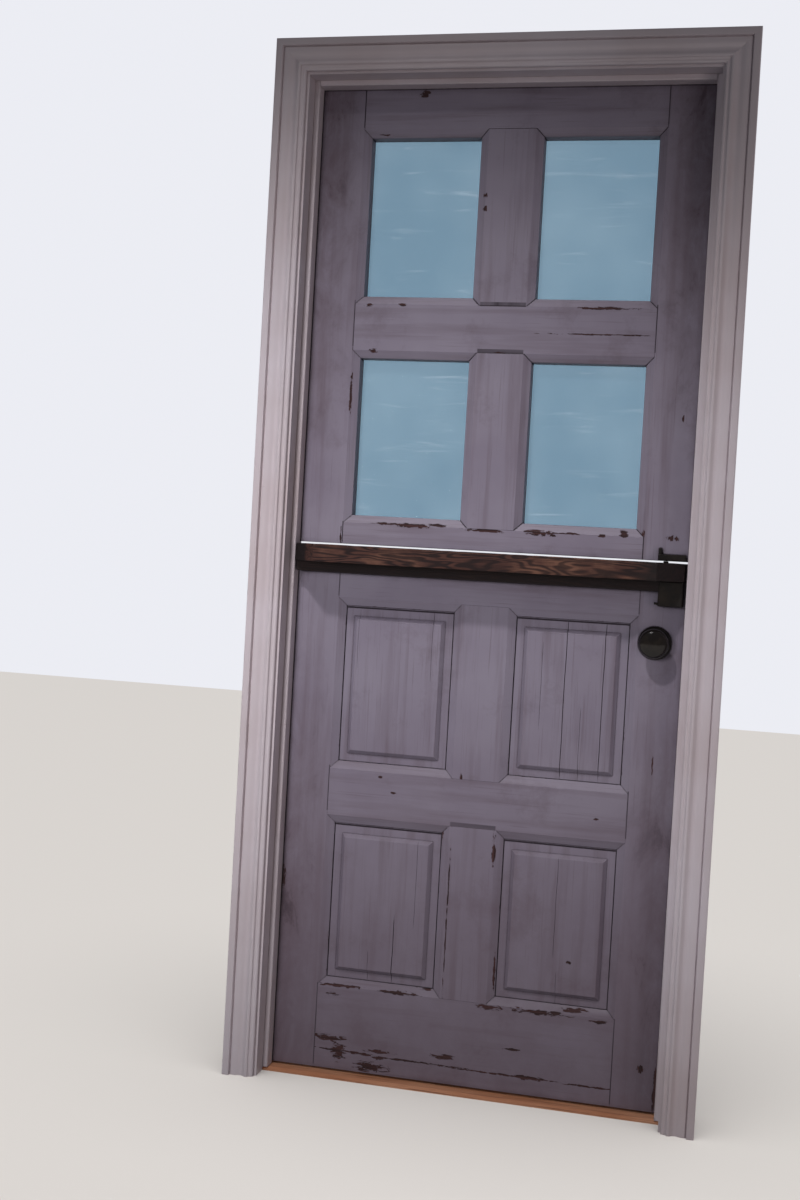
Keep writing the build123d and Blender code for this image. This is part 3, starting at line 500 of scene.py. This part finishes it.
def sawn_wood(name, dark_only=False):
    """Stained sawn timber with its grain along X, black towards both ends."""
    use = settings("shelf_finish")
    f = Finish(name)
    ring = f.noise(14.0, detail=3.0, rough=0.5, stretch=(0.13, 1.0, 1.0), twist=0.5)
    lines = f.calc("SINE", f.calc("MULTIPLY", ring, 150.0))
    grain = f.noise(330.0, detail=5.0, stretch=(0.03, 1.0, 1.0))
    patch = f.noise(16.0, detail=5.0, rough=0.65, stretch=(0.4, 1.0, 1.0))
    knot = f.noise(5.0, detail=2.0, stretch=(1.0, 1.0, 1.0), shift=2.0)
    colour = f.blend(f.span(lines, -0.8, 0.6), tuple(use.dark), tuple(use.stain))
    rubbed = f.calc("MULTIPLY", f.span(lines, -0.2, 0.9, 0.25, 1.0), f.span(patch, 0.47, 0.68))
    colour = f.blend(rubbed, colour, tuple(use.pale))
    colour = f.blend(f.span(grain, 0.50, 0.66, 0.0, 0.65), colour, tuple(use.dark))
    colour = f.blend(f.span(knot, 0.56, 0.66, 0.0, 0.8), colour, tuple(use.dark))
    # Both ends of the plank turn black, the right end through a ragged fade
    along = f.add("ShaderNodeSeparateXYZ", {0: f.place}).outputs[0]
    ends = f.calc("ADD", f.span(along, -368 * MM, -362 * MM, 1.0, 0.0),
                  f.span(f.calc("ADD", along, f.calc("MULTIPLY", patch, 0.08)), 0.335, 0.375,
                         0.0, 0.92))
    if dark_only:
        ends = 0.95
    colour = f.blend(ends, colour, tuple(use.black))
    height = f.calc("ADD", f.calc("MULTIPLY", grain, 0.7), f.calc("MULTIPLY", lines, 0.10))
    return f.finish(Base_Color=colour, Roughness=0.66, Normal=f.bump(height, 0.5 * MM),
                    Specular_IOR_Level=0.3)


def black_iron(name, rough_low, rough_high, pitting):
    """Black finish over iron, a little worn at the edges."""
    use = settings("iron_finish")
    f = Finish(name)
    pit = f.noise(260.0, detail=5.0)
    cloud = f.noise(40.0, detail=4.0)
    edge = f.crevice(1.2 * MM, inside=True)
    worn = f.calc("MULTIPLY", f.span(edge, 0.4, 0.7, 0.6, 0.0), f.span(cloud, 0.55, 0.62))
    colour = f.blend(f.span(cloud, 0.45, 0.7, 0.0, 0.3), tuple(use.black), tuple(use.worn))
    colour = f.blend(worn, colour, tuple(use.worn))
    return f.finish(Base_Color=colour, Metallic=0.0, Normal=f.bump(pit, pitting),
                    Roughness=f.span(pit, 0.3, 0.7, rough_low, rough_high),
                    Specular_IOR_Level=0.3)


def plain_steel():
    """Dull rolled steel of the hinges and latch."""
    f = Finish("dull_steel")
    rub = f.noise(500.0, detail=3.0, stretch=(1.0, 1.0, 0.1))
    tarnish = f.noise(50.0, detail=5.0)
    colour = f.blend(f.span(tarnish, 0.4, 0.7), screen(152, 146, 138), screen(104, 92, 80))
    return f.finish(Base_Color=colour, Metallic=1.0, Roughness=f.span(rub, 0.3, 0.7, 0.32, 0.5),
                    Normal=f.bump(rub, 0.05 * MM))


def bare_oak():
    """Bare oak of the threshold."""
    f = Finish("bare_oak")
    grain = f.noise(260.0, detail=5.0, stretch=(0.03, 1.0, 1.0))
    cloud = f.noise(18.0, detail=3.0, stretch=(0.2, 1.0, 1.0))
    colour = f.blend(f.span(cloud, 0.35, 0.65), screen(206, 152, 118), screen(176, 118, 84))
    colour = f.blend(f.span(grain, 0.54, 0.66, 0.0, 0.6), colour, screen(112, 70, 48))
    return f.finish(Base_Color=colour, Roughness=0.5, Normal=f.bump(grain, 0.3 * MM))


# Pieces

def slab_mesh(low, high):
    """A block between two corners."""
    mesh = bmesh.new()
    bmesh.ops.create_cube(mesh, size=1.0)
    size = high - low
    bmesh.ops.scale(mesh, vec=size, verts=mesh.verts)
    bmesh.ops.translate(mesh, vec=(low + high) / 2, verts=mesh.verts)
    return mesh


def front_face(mesh):
    """The face that looks most squarely at the room and is furthest forward."""
    faces = [face for face in mesh.faces if face.normal.y < -0.99]
    return min(faces, key=lambda face: face.calc_center_median().y)


def cut_across(mesh, axis, places):
    """Cut the whole mesh across an axis at each place."""
    for place in places:
        point = Vector((0, 0, 0))
        point[axis] = place
        normal = Vector((0, 0, 0))
        normal[axis] = 1
        geometry = mesh.verts[:] + mesh.edges[:] + mesh.faces[:]
        bmesh.ops.bisect_plane(mesh, geom=geometry, dist=1e-7, plane_co=point, plane_no=normal)


def split_panel(name, material):
    """A raised and fielded panel with the splits that have opened in it."""
    low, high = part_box(name)
    rise = 8.3 * MM
    tongue_low = Vector((low.x, low.y + rise, low.z))
    mesh = slab_mesh(tongue_low, high)
    face = front_face(mesh)
    for width, depth in ((9, 0), (0.6, -2.4), (2.2, 0), (0.6, 2.4), (15.6, 0), (8, rise / MM)):
        bmesh.ops.inset_region(mesh, faces=[face], thickness=width * MM, depth=depth * MM,
                               use_even_offset=True)
    field_edges = list(face.edges)
    bmesh.ops.bevel(mesh, geom=field_edges, offset=0.9 * MM, segments=2, profile=0.5,
                    affect="EDGES", material=-1)
    for x, z0, z1, width in SPLITS[name]:
        half = width * MM / 2
        cut_across(mesh, 0, [x * MM - half, x * MM, x * MM + half])
    step = 14 * MM
    count = int((high.z - low.z) / step)
    cut_across(mesh, 2, [low.z + step * (i + 0.5) for i in range(count)])
    for vert in mesh.verts:
        if vert.co.y > tongue_low.y + 1e-5:
            continue
        for x, z0, z1, width in SPLITS[name]:
            reach = width * MM / 2 + 1e-6
            away = abs(vert.co.x - x * MM)
            if away > reach:
                continue
            along = (vert.co.z / MM - z0) / (z1 - z0)
            if not 0.0 <= along <= 1.0:
                continue
            taper = min(1.0, 6 * along, 6 * (1 - along))
            if away < 1e-6:
                vert.co.y += 2.4 * MM * taper
            wander = noise.noise(Vector((x * 0.37, 0.0, vert.co.z * 16.0)))
            vert.co.x += wander * 1.4 * MM * taper
            break
    return piece(f"{name}_split", mesh, material, "lower_leaf", "door_paint", name)


def drawn_pane(name, glass):
    """A pane of old drawn glass whose faces are not quite flat."""
    use = settings("pane_finish")
    low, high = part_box(name)
    mesh = bmesh.new()
    bmesh.ops.create_grid(mesh, x_segments=40, y_segments=56, size=0.5)
    bmesh.ops.rotate(mesh, matrix=Matrix.Rotation(math.radians(90), 3, "X"),
                     verts=mesh.verts)
    size = high - low
    bmesh.ops.scale(mesh, vec=(size.x, 1.0, size.z), verts=mesh.verts)
    middle = Vector(((low.x + high.x) / 2, low.y + PANE_SETBACK,
                     (low.z + high.z) / 2))
    for vert in mesh.verts:
        fade = min(1.0, 12 * (0.5 - abs(vert.co.x) / size.x), 12 * (0.5 - abs(vert.co.z) / size.z))
        wave = noise.noise(Vector((vert.co.x * 9 + low.x * 31, low.z * 17, vert.co.z * 26)))
        vert.co.y = wave * use.wave * max(fade, 0.0)
    bmesh.ops.translate(mesh, vec=middle, verts=mesh.verts)
    bmesh.ops.recalc_face_normals(mesh, faces=mesh.faces)
    bmesh.ops.solidify(mesh, geom=mesh.faces[:], thickness=PANE_THICKNESS)
    move = (low.y + high.y) / 2 - sum(v.co.y for v in mesh.verts) / len(mesh.verts)
    bmesh.ops.translate(mesh, vec=(0, move, 0), verts=mesh.verts)
    obj = piece(f"{name}_drawn", mesh, glass, "upper_leaf", "pane_glass", name)
    for polygon in obj.data.polygons:
        polygon.use_smooth = True
    return obj


def sawn_plank(material):
    """The shelf plank with clipped corners and chipped edges."""
    use = settings("shelf_finish")
    low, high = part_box("shelf_plank")
    mesh = bmesh.new()
    outline = [(low.x, high.y), (low.x, low.y + PLANK_CLIP), (low.x + PLANK_CLIP, low.y),
               (high.x - PLANK_CLIP, low.y), (high.x, low.y + PLANK_CLIP), (high.x, high.y)]
    corners = [mesh.verts.new((x, y, low.z)) for x, y in outline]
    base = mesh.faces.new(corners)
    grown = bmesh.ops.extrude_face_region(mesh, geom=[base])
    top = [g for g in grown["geom"] if isinstance(g, bmesh.types.BMVert)]
    bmesh.ops.translate(mesh, vec=(0, 0, high.z - low.z), verts=top)
    bmesh.ops.recalc_face_normals(mesh, faces=mesh.faces)
    rim = [e for e in mesh.edges
           if abs(e.verts[0].co.z - e.verts[1].co.z) < 1e-6
           and not all(abs(v.co.y - high.y) < 1e-6 for v in e.verts)]
    bmesh.ops.bevel(mesh, geom=rim, offset=PLANK_ARRIS, segments=2, profile=0.5,
                    affect="EDGES", material=-1)
    count = int((high.x - low.x) / PLANK_STEP)
    cut_across(mesh, 0, [low.x + PLANK_STEP * (i + 0.5) for i in range(count)])
    cut_across(mesh, 2, [low.z + PLANK_STEP * i for i in range(1, 7)])
    middle = Vector((0, (low.y + high.y) / 2, (low.z + high.z) / 2))
    for vert in mesh.verts:
        if vert.co.y > high.y - 1e-5:
            continue
        rough = noise.noise(Vector((vert.co.x * 60, vert.co.y * 60, vert.co.z * 160)))
        edge = abs(vert.co.z - middle.z) > (high.z - low.z) / 2 - PLANK_EDGE
        inward = middle - vert.co
        inward.x = 0
        amount = PLANK_ROUGHNESS * max(0.0, rough)
        if edge:
            chip = noise.noise(Vector((vert.co.x * 38, 7.0, vert.co.z * 5)))
            amount += use.chip * max(0.0, chip - 0.12)
        vert.co += inward.normalized() * amount
    return piece("shelf_plank_sawn", mesh, material, "lower_leaf", "shelf_wood", "shelf_plank")


def moulded_casing(name, material):
    """One mitred length of the casing, its section extruded along and its edges rounded."""
    low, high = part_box(name)
    width = CASING[-1][0] * MM
    level = name == "head_casing"
    sign = 1 if low.x > 0 else -1
    mesh = bmesh.new()
    ring = []
    for across, thick, rounding in CASING:
        if level:
            place = (low.x, -thick * MM, high.z - width + across * MM)
        else:
            inner = low.x if sign > 0 else high.x
            place = (inner + sign * across * MM, -thick * MM, low.z)
        ring.append(mesh.verts.new(place))
    face = mesh.faces.new(ring)
    grown = bmesh.ops.extrude_face_region(mesh, geom=[face])
    moved = [g for g in grown["geom"] if isinstance(g, bmesh.types.BMVert)]
    run = (high.x - low.x, 0, 0) if level else (0, 0, high.z - low.z)
    bmesh.ops.translate(mesh, vec=run, verts=moved)
    bmesh.ops.recalc_face_normals(mesh, faces=mesh.faces)
    long_edges = {}
    for edge in mesh.edges:
        first, second = edge.verts
        if first in ring and second in moved or first in moved and second in ring:
            corner = first if first in ring else second
            rounding = CASING[ring.index(corner)][2]
            if rounding:
                long_edges[edge] = rounding * MM
    for rounding in sorted(set(long_edges.values())):
        edges = [e for e, size in long_edges.items() if size == rounding and e.is_valid]
        bmesh.ops.bevel(mesh, geom=edges, offset=rounding, offset_type="OFFSET", segments=4,
                        profile=0.5, affect="EDGES", material=-1, clamp_overlap=True)
    for side in ([-1, 1] if level else [sign]):
        corner = Vector((side * (OPENING + width), 0, CASING_TOP))
        normal = Vector((side, 0, -1)) if level else Vector((-side, 0, 1))
        parts = mesh.verts[:] + mesh.edges[:] + mesh.faces[:]
        cut = bmesh.ops.bisect_plane(mesh, geom=parts, dist=1e-7, plane_co=corner,
                                     plane_no=normal, clear_outer=True)
        rim = [g for g in cut["geom_cut"] if isinstance(g, bmesh.types.BMEdge)]
        bmesh.ops.holes_fill(mesh, edges=rim)
    obj = piece(f"{name}_moulded", mesh, material, BODY_OF_FRAME, "frame_paint", name)
    for polygon in obj.data.polygons:
        polygon.use_smooth = True
    obj.data.set_sharp_from_angle(angle=math.radians(35))
    return obj


# Stage

def lay_floor(use):
    """A plain pale floor, which is no part of the door."""
    mesh = bmesh.new()
    bmesh.ops.create_grid(mesh, x_segments=1, y_segments=1, size=FLOOR_SIZE)
    data = bpy.data.meshes.new("floor")
    mesh.to_mesh(data)
    mesh.free()
    floor = bpy.data.objects.new("floor", data)
    bpy.context.scene.collection.objects.link(floor)
    finish = Finish("floor_finish")
    data.materials.append(finish.finish(Base_Color=tuple(use.floor), Roughness=0.8))
    return floor


def make_surround(use):
    """A pale backdrop for the camera and through the panes, and a faint light elsewhere."""
    world = bpy.data.worlds.new("surround")
    bpy.context.scene.world = world
    world.use_nodes = True
    tree = world.node_tree
    shade = tree.nodes["Background"]
    shade.inputs["Color"].default_value = (*use.sky_colour, 1.0)
    ray = tree.nodes.new("ShaderNodeLightPath")
    seen = tree.nodes.new("ShaderNodeMath")
    seen.operation = "MAXIMUM"
    tree.links.new(ray.outputs["Is Camera Ray"], seen.inputs[0])
    tree.links.new(ray.outputs["Is Transmission Ray"], seen.inputs[1])
    level = tree.nodes.new("ShaderNodeMapRange")
    level.inputs[3].default_value = use.sky
    level.inputs[4].default_value = use.backdrop
    tree.links.new(seen.outputs[0], level.inputs[0])
    tree.links.new(level.outputs[0], shade.inputs["Strength"])


def lamp(name, kind, place, target, power, colour, mirrored=True):
    """A lamp that looks at a point, and may be kept out of reflections and panes."""
    data = bpy.data.lights.new(name, kind)
    data.energy = power
    data.color = colour
    light = bpy.data.objects.new(name, data)
    aim = Vector(target) - Vector(place)
    light.matrix_world = (Matrix.Translation(place)
                          @ aim.to_track_quat("-Z", "Y").to_matrix().to_4x4())
    light.visible_camera = False
    light.visible_glossy = mirrored
    light.visible_transmission = mirrored
    bpy.context.scene.collection.objects.link(light)
    return data


def hang_lamps(use):
    """Soft lamps above, in front, behind and beside the door, and one for the floor."""
    key = lamp("key_light", "SPOT", (-0.6, -2.1, 3.7), (0.0, 0.0, 0.62), use.key,
               (1.0, 0.97, 0.98))
    key.spot_size = math.radians(38)
    key.spot_blend = 1.0
    key.shadow_soft_size = 0.12
    front = lamp("front_light", "SPOT", (-1.3, -4.1, 1.5), (-0.33, 0.0, 0.95), use.front,
                 (0.98, 0.97, 1.0), mirrored=False)
    front.spot_size = math.radians(31)
    front.spot_blend = 1.0
    front.shadow_soft_size = 0.5
    fill = lamp("fill_light", "AREA", (2.3, -2.3, 1.0), (-0.4, 0.0, 0.9), use.fill,
                (1.0, 0.86, 0.82), mirrored=False)
    fill.size = 1.0
    above = lamp("floor_light", "SUN", (0.0, -1.0, 5.0), (0.0, 0.0, 0.0), use.floor_light,
                 (1.0, 0.99, 0.98))
    above.angle = math.radians(50)
    back = lamp("back_light", "AREA", (-0.9, 3.2, 2.4), (0.0, 0.1, 1.0), use.back,
                (1.0, 0.98, 0.98), mirrored=False)
    back.size = 1.4
    for side in (-1, 1):
        beside = lamp(f"side_light_{side + 2}", "AREA", (side * 3.0, 1.0, 1.7),
                      (side * 0.45, 0.06, 1.0), use.back * 0.5, (1.0, 0.98, 0.98),
                      mirrored=False)
        beside.size = 1.2


def share_light(floor):
    """Light the floor by its own lamp alone, so it is evenly pale and tints nothing."""
    only_floor = bpy.data.collections.new("only_floor")
    only_floor.objects.link(floor)
    all_but_floor = bpy.data.collections.new("all_but_floor")
    all_but_floor.objects.link(floor)
    all_but_floor.collection_objects[0].light_linking.link_state = "EXCLUDE"
    for light in [o for o in bpy.context.scene.objects if o.type == "LIGHT"]:
        group = only_floor if light.name == "floor_light" else all_but_floor
        light.light_linking.receiver_collection = group
    floor.visible_diffuse = False


def stand_camera():
    """The camera at the photograph's viewing angle."""
    data = bpy.data.cameras.new("camera")
    data.lens = CAMERA_LENS
    data.sensor_width = 36.0
    camera = bpy.data.objects.new("camera", data)
    camera.matrix_world = (Matrix.Translation(CAMERA_PLACE)
                           @ Matrix.Rotation(math.radians(CAMERA_HEADING), 4, "Z")
                           @ Matrix.Rotation(math.radians(90 + CAMERA_PITCH), 4, "X")
                           @ Matrix.Rotation(math.radians(CAMERA_ROLL), 4, "Z"))
    scene = bpy.context.scene
    scene.collection.objects.link(camera)
    scene.camera = camera


# Operators

class DoorOperator(bpy.types.Operator):
    """Shared test that the packed frame is loaded."""

    @classmethod
    def poll(cls, context):
        return bool(frame["nodes"])


class DOOR_OT_paint_leaves(DoorOperator):
    """Paint the stiles, rails and muntins of both leaves and the putty round the panes"""
    bl_idname = "door.paint_leaves"
    bl_label = "Paint leaves"

    def execute(self, context):
        arris = settings("door_paint").arris
        give(UPRIGHT, leaf_paint("leaf_paint_upright", "Z", CHIPS_UPRIGHT))
        give(LEVEL, leaf_paint("leaf_paint_level", "X", CHIPS_LEVEL))
        ease(UPRIGHT + LEVEL, arris)
        give(["lower_row_putty", "upper_row_putty"], putty_paint())
        return {"FINISHED"}


class DOOR_OT_fit_panels(DoorOperator):
    """Fit the raised panels with their splits"""
    bl_idname = "door.fit_panels"
    bl_label = "Fit panels"

    def execute(self, context):
        material = leaf_paint("leaf_paint_panels", "Z", [(212, 290, 9, 5)])
        for name in PANELS:
            split_panel(name, material)
        return {"FINISHED"}


class DOOR_OT_glaze(DoorOperator):
    """Glaze the upper leaf"""
    bl_idname = "door.glaze"
    bl_label = "Glaze"

    def execute(self, context):
        glass = pane_glass()
        for name in PANES:
            drawn_pane(name, glass)
        return {"FINISHED"}


class DOOR_OT_paint_frame(DoorOperator):
    """Paint the jambs, stops and casing and finish the threshold"""
    bl_idname = "door.paint_frame"
    bl_label = "Paint frame"

    def execute(self, context):
        upright = frame_paint("frame_paint_upright", "Z")
        level = frame_paint("frame_paint_level", "X")
        give(FRAME_UPRIGHT, upright)
        give(FRAME_LEVEL, level)
        ease(FRAME_UPRIGHT + FRAME_LEVEL, FRAME_ARRIS)
        moulded_casing("hinge_casing", upright)
        moulded_casing("latch_casing", upright)
        moulded_casing("head_casing", level)
        give(["threshold"], bare_oak())
        return {"FINISHED"}


class DOOR_OT_fit_shelf(DoorOperator):
    """Fit the sawn plank and stain the batten"""
    bl_idname = "door.fit_shelf"
    bl_label = "Fit shelf"

    def execute(self, context):
        sawn_plank(sawn_wood("sawn_plank"))
        give(["shelf_batten"], sawn_wood("black_batten", dark_only=True))
        return {"FINISHED"}


class DOOR_OT_fit_ironwork(DoorOperator):
    """Finish the ironwork, hinges and latch"""
    bl_idname = "door.fit_ironwork"
    bl_label = "Fit ironwork"

    def execute(self, context):
        give(IRON, black_iron("black_iron", 0.5, 0.62, 0.08 * MM))
        give(KNOBS, black_iron("polished_black", 0.10, 0.16, 0.01 * MM))
        give(STEEL, plain_steel())
        return {"FINISHED"}


class DOOR_OT_set_stage(DoorOperator):
    """Lay the floor and set the lights and the camera"""
    bl_idname = "door.set_stage"
    bl_label = "Set stage"

    def execute(self, context):
        use = settings("stage_finish")
        floor = lay_floor(use)
        make_surround(use)
        hang_lamps(use)
        share_light(floor)
        stand_camera()
        context.scene.view_settings.view_transform = "Standard"
        return {"FINISHED"}


class DOOR_PT_sidebar(bpy.types.Panel):
    """The door's settings and steps in the sidebar."""
    bl_idname = "DOOR_PT_sidebar"
    bl_label = "Stable door"
    bl_space_type = "VIEW_3D"
    bl_region_type = "UI"
    bl_category = "Stable door"

    def draw(self, context):
        layout = self.layout
        for group, kind in GROUPS.items():
            box = layout.box()
            box.label(text=kind.__doc__)
            for key in kind.__annotations__:
                box.prop(getattr(context.scene, group), key)
        for step in STEPS:
            layout.operator(step.bl_idname)


GROUPS = {
    "door_paint": DoorPaintSettings,
    "frame_finish": FramePaintSettings,
    "pane_finish": GlassSettings,
    "shelf_finish": ShelfSettings,
    "iron_finish": IronSettings,
    "stage_finish": StageSettings,
}
STEPS = [DOOR_OT_paint_leaves, DOOR_OT_fit_panels, DOOR_OT_glaze, DOOR_OT_paint_frame,
         DOOR_OT_fit_shelf, DOOR_OT_fit_ironwork, DOOR_OT_set_stage]


def register():
    for kind in [*GROUPS.values(), *STEPS, DOOR_PT_sidebar]:
        bpy.utils.register_class(kind)
    for group, kind in GROUPS.items():
        setattr(bpy.types.Scene, group, bpy.props.PointerProperty(type=kind))


def unregister():
    for group in GROUPS:
        delattr(bpy.types.Scene, group)
    for kind in reversed([*GROUPS.values(), *STEPS, DOOR_PT_sidebar]):
        bpy.utils.unregister_class(kind)


def main():
    register()
    for step in STEPS:
        area, name = step.bl_idname.split(".")
        getattr(getattr(bpy.ops, area), name)()


if __name__ == "__main__":
    main()
